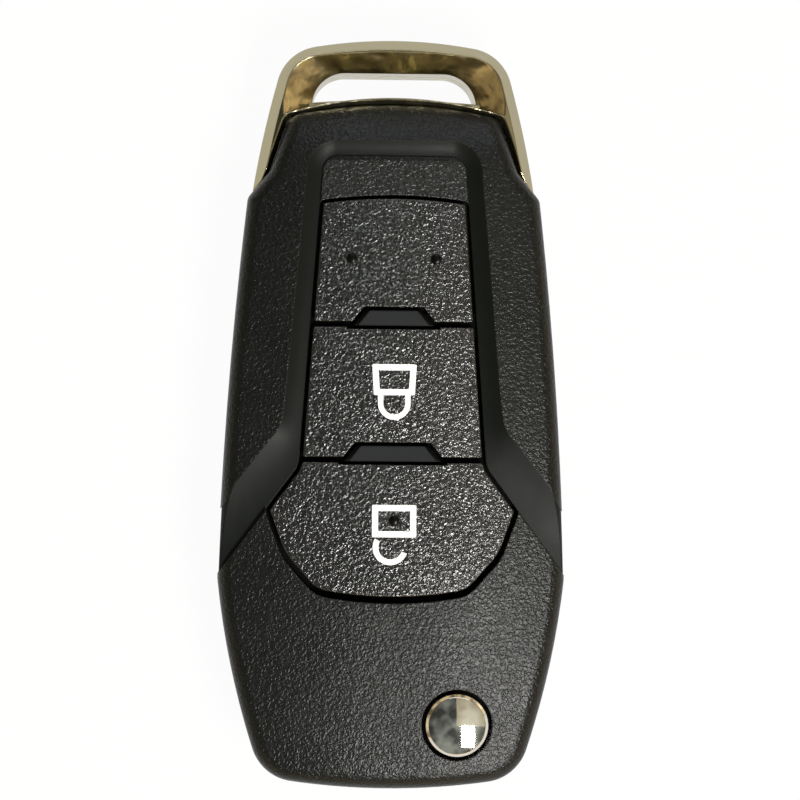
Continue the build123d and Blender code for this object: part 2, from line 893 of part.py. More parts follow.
def make_blade_carrier():
    """Turning hub with a socket arm for the blade, a lower journal and a cup for the button."""
    inner = blade_x - blade_width / 2 - arm_wall
    arm_plan = Pos((inner + widest[0]) / 2, (pivot_y + arm_end_y) / 2) * Rectangle(
        widest[0] - inner, arm_end_y - pivot_y
    )
    arm_plan = arm_plan & inner_outline(arm_inset)
    plan = arm_plan + Pos(pivot_x, pivot_y) * Circle(hub_radius)
    carrier = prism(plan, arm_low, arm_high)
    carrier += pillar(pivot_x, pivot_y, hub_radius, arm_high, collar_height)
    carrier += pillar(pivot_x, pivot_y, journal_radius, journal_end, arm_low)
    cup_low = flange_rest - button_flange_thickness - button_travel - button_play
    carrier -= pillar(pivot_x, pivot_y, button_flange_radius + lug_gap, cup_low, collar_height)
    carrier -= pillar(pivot_x, pivot_y, cap_radius + 2 * lug_gap, cup_floor, cup_low)
    lug_half = lug_width / 2 + lug_gap
    reach = lug_reach + lug_gap
    carrier -= block(
        (pivot_x - reach, pivot_y - lug_half, cup_low), (pivot_x + reach, pivot_y + lug_half, collar_height)
    )
    carrier -= tang(fit_gap)
    carrier -= pillar(blade_x, roll_pin_y, roll_pin_radius + fit_gap, arm_low, arm_high)
    return carrier


def tang(grow=0.0):
    """Narrow end of the blade that the carrier's socket holds."""
    half = tang_width / 2 + grow
    return block(
        (blade_x - half, tang_foot_y - grow, parting_height - blade_thickness / 2 - grow),
        (blade_x + half, arm_end_y, parting_height + blade_thickness / 2 + grow),
    )


def make_key_blade():
    """Uncut blade: bevelled bar with a pointed tip, a groove in each face and a pinned tang."""
    half = blade_width / 2
    point = half - blade_edge * 2
    corners = (
        (blade_x - half, arm_end_y),
        (blade_x + half, arm_end_y),
        (blade_x + half, blade_tip_y - blade_point),
        (blade_x + half - point, blade_tip_y),
        (blade_x - half + point, blade_tip_y),
        (blade_x - half, blade_tip_y - blade_point),
    )
    low = parting_height - blade_thickness / 2
    high = parting_height + blade_thickness / 2
    blade = prism(make_face(Polyline(*corners, close=True)), low, high)
    rims = [e for e in blade.edges() if abs((e % 0.5).Z) < near and (e @ 0.5).Y > arm_end_y + near]
    blade = chamfer(rims, blade_edge)
    groove_start = arm_end_y + blade_groove_start
    groove_end = blade_tip_y - blade_point - blade_groove_end
    for z in (low, high):
        groove = block(
            (blade_x - blade_groove_width / 2, groove_start, z - blade_groove_depth),
            (blade_x + blade_groove_width / 2, groove_end, z + blade_groove_depth),
        )
        blade -= groove
    blade += tang()
    return blade - pillar(blade_x, roll_pin_y, roll_pin_radius + fit_gap, low, high)


def make_blade_roll_pin():
    """Rolled spring pin, split along one side."""
    pin = pillar(blade_x, roll_pin_y, roll_pin_radius, arm_low, arm_high)
    pin -= pillar(blade_x, roll_pin_y, roll_pin_bore, arm_low, arm_high)
    half = roll_pin_slit / 2
    far = blade_x + 2 * roll_pin_radius
    return pin - block((blade_x, roll_pin_y - half, arm_low), (far, roll_pin_y + half, arm_high))


def cap_top():
    return crown_height(pivot_x, pivot_y) + cap_proud


def make_release_button():
    """Hollow turned button: domed cap with a bevelled rim, a flange with two lugs, and a skirt."""
    rim = cap_top() - cap_dome
    flange_low = flange_rest - button_flange_thickness
    skirt_low = flange_low - button_skirt
    bore_top = cap_top() - button_top_thickness
    flat = cap_radius - cap_bevel
    lines = [
        ThreePointArc((0, cap_top()), (flat / 2, cap_top() - cap_dome / 4), (flat, rim)),
        Polyline(
            (flat, rim),
            (cap_radius, rim - cap_bevel),
            (cap_radius, flange_rest),
            (button_flange_radius, flange_rest),
            (button_flange_radius, flange_low),
            (cap_radius, flange_low),
            (cap_radius, skirt_low),
            (button_bore, skirt_low),
            (button_bore, bore_top),
            (0, bore_top),
            (0, cap_top()),
        ),
    ]
    button = Pos(pivot_x, pivot_y) * revolve(Plane.XZ * make_face(lines), Axis.Z)
    lugs = block(
        (pivot_x - lug_reach, pivot_y - lug_width / 2, flange_low),
        (pivot_x + lug_reach, pivot_y + lug_width / 2, flange_rest),
    )
    lugs -= pillar(pivot_x, pivot_y, cap_radius, flange_low, flange_rest)
    return button + lugs


def make_pivot_spring():
    """Coil spring from the cup's floor to the underside of the cap."""
    low = cup_floor + spring_wire / 2
    high = cap_top() - button_top_thickness - spring_wire / 2
    pitch = (high - low) / spring_turns
    coil = Helix(pitch, high - low, spring_radius)
    start = Plane(origin=coil @ 0, z_dir=coil % 0)
    wire = sweep(start * RegularPolygon(spring_wire / 2, spring_sides), coil, is_frenet=True)
    return Pos(pivot_x, pivot_y, low) * wire


# Electronics


def make_coin_cell():
    """Sealed coin cell: crimped can with a stepped rim."""
    x, y = cell_place
    can = pillar(x, y, cell_radius, cell_low + cell_edge, cell_high)
    can = chamfer(can.edges().group_by(Axis.Z)[-1], cell_edge)
    return can + pillar(x, y, cell_radius - 2 * cell_edge, cell_low, cell_low + cell_edge)


def contact_strip(low, side):
    """Pressed strip that lies on the cell and rises to the board; side is +1 or -1 along Y."""
    x, y = cell_place
    rise_y = y + side * (cell_radius + strip_gap)
    inner_y = y + side * (cell_radius - strip_reach)
    outer_y = rise_y + side * strip_thickness
    profile = (
        (inner_y, low),
        (outer_y, low),
        (outer_y, board_low),
        (rise_y, board_low),
        (rise_y, low + strip_thickness),
        (inner_y, low + strip_thickness),
    )
    return Pos(x, 0, 0) * across_profile(profile, strip_width / 2)


def board_plan():
    plan = inner_outline(wall + board_gap) & slab(board_foot_y, board_head_y)
    return plan & Pos(board_edge_x - 2 * widest[0], 0) * Rectangle(4 * widest[0], 4 * widest[0])


def make_circuit_board():
    board = prism(board_plan(), board_low, board_high)
    for x, y in peg_places:
        board -= pillar(x, y, peg_radius + peg_gap, board_low, board_high)
    return board


def make_board_tray():
    """Moulded tray: floor under the board, wall beside the blade and roof over it."""
    tray = prism(board_plan(), parting_height, board_low)
    x, y = cell_place
    half = strip_width / 2 + peg_gap
    for side in (-1, 1):
        rise = y + side * (cell_radius + strip_gap)
        near, far = sorted((rise - side * peg_gap, rise + side * (strip_thickness + peg_gap)))
        tray -= block((x - half, near, parting_height), (x + half, far, board_low))
    right_x = trough_x + trough_thickness
    roof_high = slot_high + tray_thickness
    tray += block((trough_x, trough_foot_y, slot_low), (right_x, cavity_end_y - wall, roof_high))
    join = board_edge_x - wall
    tray += block((join, board_foot_y, parting_height), (trough_x, cavity_end_y - 2 * wall, board_low))
    roof = inner_outline(wall + lip_gap) & slab(trough_foot_y, blade_tip_y + wall)
    roof = roof & Pos(trough_x + 2 * widest[0], 0) * Rectangle(4 * widest[0], 4 * widest[0])
    tray += prism(roof, slot_high, roof_high)
    for x, y in peg_places:
        tray -= pillar(x, y, peg_radius + peg_gap, parting_height, board_low)
    return tray


def make_switch(y):
    """Tact switch body with its plunger's bore."""
    body = prism(RectangleRounded(switch_size, switch_size, switch_corner), board_high, switch_top)
    body -= pillar(0, 0, plunger_radius + plunger_gap, board_high, switch_top)
    return Pos(0, y, 0) * body


def make_plunger(y):
    plunger = pillar(0, y, plunger_radius, switch_top - plunger_depth, mat_low)
    return chamfer(plunger.edges().group_by(Axis.Z)[-1], plunger_bevel)


def make_remote_chip():
    x, y = chip_place
    chip = prism(Rectangle(chip_size, chip_size), board_high, board_high + chip_height)
    return Pos(x, y, 0) * chamfer(chip.edges().group_by(Axis.Z)[-1], chip_bevel)


def make_crystal_can():
    x, y = crystal_place
    can = RectangleRounded(crystal_length, crystal_width, crystal_corner)
    return Pos(x, y, 0) * prism(can, board_high, board_high + crystal_height)


def make_transponder_coil():
    """Wound coil block with a flange at each end."""
    x, y = coil_place
    middle = board_high + coil_height / 2
    thin = 2 * coil_winding_inset
    coil = Pos(x, y, middle) * Box(coil_width - thin, coil_length, coil_height - thin)
    for side in (-1, 1):
        end = y + side * (coil_length - coil_flange) / 2
        coil += Pos(x, end, middle) * Box(coil_width, coil_flange, coil_height)
    return coil


def make_keypad_mat():
    """Silicone sheet under the keys, with a foot on the board and one on the tray's roof."""
    sheet = RectangleRounded(2 * mat_half, mat_head_y - mat_foot_y, mat_corner_radius)
    mat = prism(Pos(0, (mat_foot_y + mat_head_y) / 2) * sheet, mat_low, mat_high)
    mat += block((-mat_half, left_mat_foot[0], board_high), (mat_rim - mat_half, left_mat_foot[1], mat_low))
    roof = slot_high + tray_thickness
    mat += block((mat_half - mat_rim, right_mat_foot[0], roof), (mat_half, right_mat_foot[1], mat_low))
    return mat


def build_parts():
    parts = {
        "front_cover": make_front_cover(),
        "rear_cover": make_rear_cover(),
        "key_ring_loop": make_key_ring_loop(),
        "blank_key": make_blank_key(),
        "lock_key": make_key("lock_key"),
        "unlock_key": make_key("unlock_key"),
        "keypad_mat": make_keypad_mat(),
        "circuit_board": make_circuit_board(),
        "board_tray": make_board_tray(),
        "remote_chip": make_remote_chip(),
        "crystal_can": make_crystal_can(),
        "transponder_coil": make_transponder_coil(),
        "coin_cell": make_coin_cell(),
        "negative_contact": contact_strip(back_wall, -1),
        "positive_contact": contact_strip(cell_high, 1),
        "blade_carrier": make_blade_carrier(),
        "key_blade": make_key_blade(),
        "blade_roll_pin": make_blade_roll_pin(),
        "release_button": make_release_button(),
        "pivot_spring": make_pivot_spring(),
    }
    for name, y in (("lock", lock_switch_y), ("unlock", unlock_switch_y)):
        parts[name + "_switch"] = make_switch(y)
        parts[name + "_switch_plunger"] = make_plunger(y)
    return parts


os.makedirs("parts", exist_ok=True)
for node, solid in build_parts().items():
    export_step(solid, "parts/" + node + ".step")
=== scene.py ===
import math

import bpy
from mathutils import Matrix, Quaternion, Vector


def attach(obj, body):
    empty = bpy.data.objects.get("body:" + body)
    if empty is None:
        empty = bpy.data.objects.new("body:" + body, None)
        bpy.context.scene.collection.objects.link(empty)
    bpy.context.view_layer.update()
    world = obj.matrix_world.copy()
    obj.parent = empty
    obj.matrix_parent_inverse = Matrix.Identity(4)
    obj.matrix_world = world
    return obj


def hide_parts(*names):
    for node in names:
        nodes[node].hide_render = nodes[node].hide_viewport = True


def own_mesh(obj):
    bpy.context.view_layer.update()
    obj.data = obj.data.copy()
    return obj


# Folding key fob that lies on its back. Values are in millimetres, and mm turns them into metres.
# The frame's axes: +X right as seen from the keys, +Y to the key-ring loop, +Z out of the key face.

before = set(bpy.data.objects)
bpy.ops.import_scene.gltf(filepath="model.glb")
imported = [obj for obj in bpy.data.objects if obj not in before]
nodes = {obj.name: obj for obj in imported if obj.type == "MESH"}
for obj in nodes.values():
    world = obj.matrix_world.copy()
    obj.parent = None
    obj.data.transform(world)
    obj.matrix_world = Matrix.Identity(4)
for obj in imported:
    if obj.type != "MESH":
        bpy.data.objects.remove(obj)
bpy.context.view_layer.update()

mm = 0.001

# Height clear of the keys from which faces are looked for, and the way down from there
above = 30.0
down = (0, 0, -1)

# Places in plan on the front cover, right half, that show which of its faces has which finish
band_spots = ((3.0, 28.2), (8.1, 27.0), (9.0, 20.0), (9.9, 6.0), (11.0, 0.5), (11.5, -4.0), (14.0, -8.0))
shelf_spots = ((0.0, 25.0),)
tab_spots = ((0.0, 10.1), (0.0, -4.4), (3.6, 10.4), (4.5, -4.2))
crossbar_spots = ((6.5, 9.9), (6.5, -4.7))

# Level looks from inside the keyways that meet their walls, which get painted shade, as places and ways
# in plan
keyway_height = 12.3
keyway_rows = (20, 16, 13, 7, 4, 0, -3, -6, -9, -13, -17)
keyway_looks = [((0, y), (side, 0)) for y in keyway_rows for side in (-1, 1)]
keyway_looks += [((x, -15), (0, -1)) for x in (-7.5, -6, 0, 6, 7.5)]
keyway_looks += [((x, 20), (0, 1)) for x in (-5, 0, 5)]

# How close the cover's faces lie along a shared line, how far from the middle line the two halves
# are evened, and how much a face that is evened may lean to the side
seam = 0.001
even_width = 8.0
even_lean = 0.1

# The flare over the rim, right half: how far out it starts, and a place in plan and the run of its
# crease and of its foot
flare_start = 14.0
crease_place = (11.7, -1.75)
crease_run = (6.65, -8.7)
foot_place = (9.98, -5.8)
foot_run = (3.5, -4.7)

# The dish round the loop's slot: middle and radius of its right corner, and the height of its rim
dish_corner = (8.2, 35.4, 0.0)
dish_radius = 3.6
dish_rim = 10.77

# Heights below which the keys' sides and the button's flange lie in their gaps: there painted shade
# takes the keys' shine away and colours the flange near black
key_shade_height = 12.7
button_shade_height = 13.0

# Padlocks: the height that they are drawn at, over the keys, and their ink's thickness, line and corners
drawing_height = 20.0
ink_height = 0.02
ink_line = 0.66
ink_corner = 0.14

# Closed padlock: its body narrows to the foot, and a shackle hangs from it
lock_middle = (0.12, 3.505)
lock_top_width = 4.75
lock_foot_width = 4.38
lock_height = 3.31
shackle_width = 3.48
shackle_line = 0.58
shackle_drop = 0.88

# Open padlock: its body, and a hook whose end, in degrees, stops short of the body
unlock_middle = (0.2, -11.55)
unlock_width = 4.72
unlock_height = 3.45
hook_middle = (-0.2, -14.34)
hook_radius = 1.57
hook_line = 0.62
hook_end = -23.0

# Pips
pip_places = {"blank_key": ((-4.5, 16.4), (4.5, 16.4)), "unlock_key": ((0.2, -11.5),)}
pip_radius = 0.58
pip_height = 0.2

# Rounding that is left on the edges of the plastic and of worked metal
plastic_edge = 0.2
metal_edge = 0.08

# Roughness of a grained moulding where its mould is smooth
bare_roughness = 0.3

# Widths of the finishes' patterns: wide patches of gloss on grained plastic, flow and skin of smooth
# # plastic, pits in the gloss of the keyways' painted shade, ripple and haze of plating, lines of drawn
# metal, grain of ink
patch_width = 7.0
flow_width = 3.0
skin_width = 0.4
pit_width = 0.2
ripple_width = 2.4
haze_width = 0.9
line_width = 0.12
ink_grain = 0.35

# Depths of the shallow ones
skin_depth = 0.006
line_depth = 0.004
ink_depth = 0.02

# Table, just under the fob, and the share of plain white in what the camera and the metal see of it
table_size = 1600
table_drop = 0.02
table_white = 0.96

# Room: its shades from level with the fob, 0, to overhead, 1, and the way to its lit side
room_shades = (
    (0.0, "#f0dfbe"),
    (0.25, "#e2c598"),
    (0.45, "#b9a27c"),
    (0.65, "#696964"),
    (0.85, "#6b6f6d"),
    (1.0, "#858987"),
)
lit_side = (0.5, -0.85, 0.0)

# Place that the lamps are aimed at
lamp_aim = (0, 0, 10)

# Camera over the keys, as the photograph was taken. Its roll is in degrees, and the frame is that wide
# at the aim
camera_place = (-9.0, 1.35, 295.0)
camera_aim = (0.88, 1.35, 10.0)
camera_roll = 0.5
frame_width = 86.6
sensor_width = 36.0


# Nodes of the materials


def colour(code):
    """Turns an sRGB hex code into the linear colour that a shader takes."""
    channels = [int(code[i : i + 2], 16) / 255 for i in (1, 3, 5)]
    linear = [c / 12.92 if c <= 0.04045 else ((c + 0.055) / 1.055) ** 2.4 for c in channels]
    return (*linear, 1.0)


def set_inputs(tree, node, inputs):
    """Gives a node's inputs a value, another node's output, or another node for its first output."""
    for name, value in inputs.items():
        if isinstance(value, bpy.types.Node):
            value = value.outputs[0]
        if isinstance(value, bpy.types.NodeSocket):
            tree.links.new(value, node.inputs[name])
        else:
            node.inputs[name].default_value = value


def add(tree, kind, inputs=None, **settings):
    """Adds a shader node of a kind, with its settings, values and links."""
    node = tree.nodes.new("ShaderNode" + kind)
    for name, value in settings.items():
        setattr(node, name, value)
    set_inputs(tree, node, inputs or {})
    return node


def new_material(name, shade):
    """Material of one colour, with its shader and the place on the object that its patterns read."""
    material = bpy.data.materials.new(name)
    material.use_nodes = True
    tree = material.node_tree
    shader = tree.nodes["Principled BSDF"]
    set_inputs(tree, shader, {"Base Color": colour(shade)})
    place = add(tree, "TexCoord").outputs["Object"]
    return material, tree, shader, place


def uneven(tree, place, width, low, high, detail=2.0, span=(0.0, 1.0)):
    """Value that wanders from low to high over the surface, in patches of a width."""
    noise = add(tree, "TexNoise", {"Vector": place, "Scale": 1 / (width * mm), "Detail": detail})
    stretch = {"From Min": span[0], "From Max": span[1], "To Min": low, "To Max": high}
    return add(tree, "MapRange", {"Value": noise, **stretch})


def relief(tree, pattern, depth, edge):
    """Bump of a pattern and depth, over edges rounded as a mould or a polishing wheel leaves them."""
    rounded = add(tree, "Bevel", {"Radius": edge * mm}, samples=6)
    return add(tree, "Bump", {"Height": pattern, "Distance": depth * mm, "Normal": rounded})


# Parts of a surface that have a finish or a painted shade of their own: each gives one there, and zero
# elsewhere


def lower_than(tree, place, height):
    """One below a height, zero above it."""
    axes = add(tree, "SeparateXYZ", {"Vector": place})
    return add(tree, "Math", {0: axes.outputs["Z"], 1: height * mm}, operation="LESS_THAN")


def gap_shade_share(tree, place):
    """One on the keys' sides in their gaps, where their grain and shine are taken away as painted shade.
    """
    return lower_than(tree, place, key_shade_height)


def past_line(tree, across, along, place, run):
    """How far a place lies past a line in plan, to the left of the line's run, in metres."""
    length = math.hypot(*run)
    normal = (-run[1] / length, run[0] / length)
    reach = (normal[0] * place[0] + normal[1] * place[1]) * mm
    first = add(tree, "Math", {0: across, 1: normal[0], 2: -reach}, operation="MULTIPLY_ADD")
    return add(tree, "Math", {0: along, 1: normal[1], 2: first}, operation="MULTIPLY_ADD")


def flare_share(tree, place):
    """One on the flare, between its crease and its foot, where it runs over the rim on both sides."""
    axes = add(tree, "SeparateXYZ", {"Vector": place}).outputs
    across = add(tree, "Math", {0: axes["X"]}, operation="ABSOLUTE")
    past_crease = past_line(tree, across, axes["Y"], crease_place, crease_run)
    past_foot = past_line(tree, across, axes["Y"], foot_place, foot_run)
    below_crease = add(tree, "Math", {0: past_crease, 1: 0.0}, operation="LESS_THAN")
    above_foot = add(tree, "Math", {0: past_foot, 1: 0.0}, operation="GREATER_THAN")
    between = add(tree, "Math", {0: below_crease, 1: above_foot}, operation="MULTIPLY")
    outside = add(tree, "Math", {0: across, 1: flare_start * mm}, operation="GREATER_THAN")
    return add(tree, "Math", {0: between, 1: outside}, operation="MULTIPLY")


def dish_share(tree, place):
    """One in the dish round the loop's slot, whose outline has round corners."""
    across = add(tree, "VectorMath", {0: place}, operation="ABSOLUTE")
    past = add(tree, "VectorMath", {0: across, 1: Vector(dish_corner) * mm}, operation="SUBTRACT")
    flat = add(tree, "VectorMath", {0: past, 1: (1, 1, 0)}, operation="MULTIPLY")
    outer = add(tree, "VectorMath", {0: flat, 1: (0, 0, 0)}, operation="MAXIMUM")
    reach = add(tree, "VectorMath", {0: outer}, operation="LENGTH").outputs["Value"]
    inside = add(tree, "Math", {0: reach, 1: dish_radius * mm}, operation="LESS_THAN")
    return add(tree, "Math", {0: inside, 1: lower_than(tree, place, dish_rim)}, operation="MULTIPLY")


# Materials. Shine is how strongly a plastic mirrors, where 0.5 is a clean flat sheet


def grained_plastic(name, shade, grain, depth, roughness, shine, smooth_or_shaded=None, smooth_or_shaded_shine=0.0):
    """ABS from a mould with an etched leather grain: short worm-like ridges that catch the light.

    Where the share that is passed in gives one, the grain is left out, and the plastic is half dull with
    a shine of its own:
    on the cover's flare the mould is smooth, and on the keys' sides in their gaps no shine is painted
    shade.
    """
    material, tree, shader, place = new_material(name, shade)
    worms = {"Vector": place, "Scale": 1 / (grain * mm), "Detail": 1.0, "Distortion": 0.7}
    noise = add(tree, "TexNoise", worms)
    sharpen = {"Value": noise, "From Min": 0.3, "From Max": 0.7}
    ridges = add(tree, "MapRange", sharpen, interpolation_type="SMOOTHSTEP")
    bump = relief(tree, ridges, depth, plastic_edge)
    dull = uneven(tree, place, patch_width, roughness * 0.9, roughness * 1.1, span=(0.3, 0.7))
    set_inputs(tree, shader, {"Specular IOR Level": shine})
    if smooth_or_shaded:
        # On the keys this share is their sides in their gaps, where no grain and no shine is painted
        # shade
        share = smooth_or_shaded(tree, place)
        grained = add(tree, "Math", {0: 1.0, 1: share}, operation="SUBTRACT")
        set_inputs(tree, bump, {"Strength": grained})
        dull = add(tree, "Mix", {"Factor": share, "A": dull, "B": bare_roughness})
        glow = add(tree, "MapRange", {"Value": share, "To Min": shine, "To Max": smooth_or_shaded_shine})
        set_inputs(tree, shader, {"Specular IOR Level": glow})
    set_inputs(tree, shader, {"Roughness": dull, "Normal": bump, "IOR": 1.5})
    return material


def painted_shade_plastic(name, shade):
    """Dull near-black plastic on the keyways' walls: painted shade, so that the narrow gaps look black.

    The pits are drawn coarser than real ones, which are too fine to show.
    """
    material, tree, shader, place = new_material(name, shade)
    dull = uneven(tree, place, pit_width, low=0.7, high=0.95)
    set_inputs(tree, shader, {"Roughness": dull, "Specular IOR Level": 0.08})
    return material


def smooth_moulding(name, shade, roughness):
    """Plastic, rubber or lacquer without a grain: smooth, with a faint flow in its gloss."""
    material, tree, shader, place = new_material(name, shade)
    gloss = uneven(tree, place, flow_width, roughness * 0.8, roughness * 1.2, detail=3.0)
    skin = add(tree, "TexNoise", {"Vector": place, "Scale": 1 / (skin_width * mm), "Detail": 2.0})
    bump = relief(tree, skin, skin_depth, plastic_edge)
    set_inputs(tree, shader, {"Roughness": gloss, "Normal": bump})
    set_inputs(tree, shader, {"IOR": 1.5, "Specular IOR Level": 0.12})
    return material


def plated_metal(name, shade, roughness, ripple, edge, dish_roughness=0.0, flange_shade=None):
    """Plating over a casting: bright where it is polished, with the slight ripple of the metal under it.

    A dish is hard to reach with the polishing wheel, and stays duller and more rippled. Below a height
    in its gap the flange is coloured near black: painted shade, so that it does not shine.
    """
    material, tree, shader, place = new_material(name, shade)
    waves = add(tree, "TexNoise", {"Vector": place, "Scale": 1 / (ripple_width * mm), "Detail": 1.5})
    bump = relief(tree, waves, ripple, edge)
    gloss = uneven(tree, place, haze_width, roughness * 0.6, roughness * 1.5, detail=4.0)
    if dish_roughness:
        dish = dish_share(tree, place)
        gloss = add(tree, "Math", {0: dish, 1: dish_roughness, 2: gloss}, operation="MULTIPLY_ADD")
        strength = add(tree, "MapRange", {"Value": dish, "To Min": 0.08, "To Max": 1.0})
        set_inputs(tree, bump, {"Strength": strength})
    if flange_shade:
        # A Mix node's inputs 6 and 7 are its two colours, and its output 2 is their mixture
        shades = {0: lower_than(tree, place, button_shade_height), 6: colour(shade), 7: colour(flange_shade)}
        plating_and_shade = add(tree, "Mix", shades, data_type="RGBA")
        set_inputs(tree, shader, {"Base Color": plating_and_shade.outputs[2]})
    set_inputs(tree, shader, {"Roughness": gloss, "Normal": bump, "Metallic": 1.0})
    return material


def drawn_metal(name, shade, roughness, stretch):
    """Milled, pressed or drawn metal: fine lines left along the way it was worked.

    The lines are drawn coarser than real ones, which are too fine to show.
    """
    material, tree, shader, place = new_material(name, shade)
    along = add(tree, "Mapping", {"Vector": place, "Scale": stretch})
    lines = add(tree, "TexNoise", {"Vector": along, "Scale": 1 / (line_width * mm)})
    gloss = add(tree, "MapRange", {"Value": lines, "To Min": roughness * 0.7, "To Max": roughness * 1.3})
    bump = relief(tree, lines, line_depth, metal_edge)
    set_inputs(tree, shader, {"Roughness": gloss, "Normal": bump, "Metallic": 1.0})
    return material


def printed_ink(name, shade):
    """Pad-printed ink over the keys' grain: flat white, with a worn, slightly uneven gloss."""
    material, tree, shader, place = new_material(name, shade)
    grain = add(tree, "TexNoise", {"Vector": place, "Scale": 1 / (ink_grain * mm), "Detail": 2.0})
    gloss = add(tree, "MapRange", {"Value": grain, "To Min": 0.5, "To Max": 0.8})
    bump = add(tree, "Bump", {"Height": grain, "Distance": ink_depth * mm})
    set_inputs(tree, shader, {"Roughness": gloss, "Normal": bump})
    return material


# The covers' fine grain is half dull. On the flare the front cover's mould is smooth, and mirrors little
cover_grain = {"shade": "#121412", "grain": 0.36, "depth": 0.03, "roughness": 0.32, "shine": 0.265}
cover_finish = grained_plastic("etched_abs_cover", **cover_grain, smooth_or_shaded=flare_share, smooth_or_shaded_shine=0.1)
back_finish = grained_plastic("etched_abs_back", **cover_grain)

# The keys' grain is the deepest and glossiest, so that they sparkle, but not down in their gaps, where
# the grain and shine are taken away as painted shade
key_grain = {"shade": "#151616", "grain": 0.38, "depth": 0.055, "roughness": 0.2, "shine": 0.85}
key_finish = grained_plastic("etched_abs_keys", **key_grain, smooth_or_shaded=gap_shade_share)

# The shelf over the keys has their grain with a duller gloss
shelf_grain = {"shade": "#1b1c1b", "grain": 0.38, "depth": 0.05, "roughness": 0.3, "shine": 0.45}
shelf_finish = grained_plastic("etched_abs_shelf", **shelf_grain)

# The band round the keys is a soft satin, the tabs between them are glossier, and the pips glossiest
band_finish = smooth_moulding("satin_abs_band", "#121512", 0.42)
tab_finish = smooth_moulding("polished_abs_tabs", "#232424", 0.24)
pip_finish = smooth_moulding("polished_abs_pips", "#070707", 0.2)

# The keyways' walls are near black and dull as painted shade, and the padlocks on the keys are a bright
# flat white
keyway_shade = painted_shade_plastic("painted_shade_keyways", "#040404")
white_ink = printed_ink("pad_printed_white", "#f7f8f8")

# Inside, plain mouldings, a rubbery mat and a lacquered board
inner_plastic = smooth_moulding("moulded_inner_plastic", "#101010", 0.5)
silicone = smooth_moulding("moulded_silicone", "#2b2b2d", 0.7)
solder_mask = smooth_moulding("green_solder_mask", "#0d4a22", 0.35)

# The loop's chrome is smoked, which makes it brassy, the button's is near white, and the carrier's
# nickel is satin
loop_chrome = plated_metal(
    "smoked_chrome_plate", "#a69e80", 0.1, ripple=0.3, edge=0.25, dish_roughness=0.14
)
# The button's flange down in its gap is coloured near black: painted shade
button_chrome = plated_metal(
    "polished_chrome_button", "#dcd8cc", 0.05, ripple=0.004, edge=0.12, flange_shade="#141414"
)
carrier_metal = plated_metal("satin_nickel_casting", "#8d8b86", 0.3, ripple=0.01, edge=0.12)

# The other metals are a soft grey and the winding is coppery. Their lines are drawn out along one axis:
# X, but Z on the springs' wire and Y on the winding
blade_metal = drawn_metal("nickel_plated_blade_steel", "#b3afa4", 0.32, (0.04, 1.0, 1.0))
spring_metal = drawn_metal("drawn_spring_wire", "#85858a", 0.3, (1.0, 1.0, 0.1))
tin_plate = drawn_metal("pressed_tin_plate", "#a5a5a5", 0.35, (0.1, 1.0, 1.0))
cell_metal = drawn_metal("nickel_plated_can", "#b4b4b2", 0.3, (0.1, 1.0, 1.0))
winding = drawn_metal("varnished_copper_winding", "#7a3c1c", 0.4, (1.0, 0.05, 1.0))

node_finishes = {
    "rear_cover": back_finish,
    "key_ring_loop": loop_chrome,
    "blank_key": key_finish,
    "lock_key": key_finish,
    "unlock_key": key_finish,
    "release_button": button_chrome,
    "keypad_mat": silicone,
    "circuit_board": solder_mask,
    "lock_switch": tin_plate,
    "unlock_switch": tin_plate,
    "lock_switch_plunger": inner_plastic,
    "unlock_switch_plunger": inner_plastic,
    "remote_chip": inner_plastic,
    "crystal_can": tin_plate,
    "transponder_coil": winding,
    "board_tray": inner_plastic,
    "coin_cell": cell_metal,
    "positive_contact": tin_plate,
    "negative_contact": tin_plate,
    "blade_carrier": carrier_metal,
    "key_blade": blade_metal,
    "blade_roll_pin": spring_metal,
    "pivot_spring": spring_metal,
}
for name, finish in node_finishes.items():
    for slot in nodes[name].material_slots:
        slot.material = finish


# Selecting, editing and looking at pieces


def deselect():
    """Leaves nothing selected."""
    bpy.ops.object.select_all(action="DESELECT")


def make_active(piece):
    """Leaves one piece selected, for the operators to act on."""
    deselect()
    piece.select_set(True)
    bpy.context.view_layer.objects.active = piece


def start_edit(piece):
    """Opens a piece for editing, with all of it selected."""
    make_active(piece)
    bpy.ops.object.mode_set(mode="EDIT")
    bpy.ops.mesh.select_all(action="SELECT")


def end_edit():
    """Closes the piece that is open for editing."""
    bpy.ops.object.mode_set(mode="OBJECT")


def look(piece, start, way):
    """What a look along a way meets on a piece: the place, its normal and the number of its triangle."""
    return piece.ray_cast(Vector(start) * mm, Vector(way))[1:]


def copied_node(name, piece_name, finishes):
    """Copy of a CAD node's mesh as a new piece that has finishes of its own."""
    mesh = nodes[name].data.copy()
    mesh.materials.clear()
    for finish in finishes:
        mesh.materials.append(finish)
    piece = bpy.data.objects.new(piece_name, mesh)
    bpy.context.scene.collection.objects.link(piece)
    return piece


# Front cover: the moulding's own faces, each with the finish that the mould gives it, and painted shade
# on the keyways' walls


def moulded_faces(mesh):
    """Number of the moulding's face that each triangle belongs to.

    The mesh is loose along the edges of its faces, so triangles that share corners are in one face.
    """
    parent = list(range(len(mesh.vertices)))

    def root(index):
        while parent[index] != index:
            parent[index] = parent[parent[index]]
            index = parent[index]
        return index

    for triangle in mesh.polygons:
        first = root(triangle.vertices[0])
        for other in triangle.vertices[1:]:
            parent[root(other)] = first
    return [root(triangle.vertices[0]) for triangle in mesh.polygons]


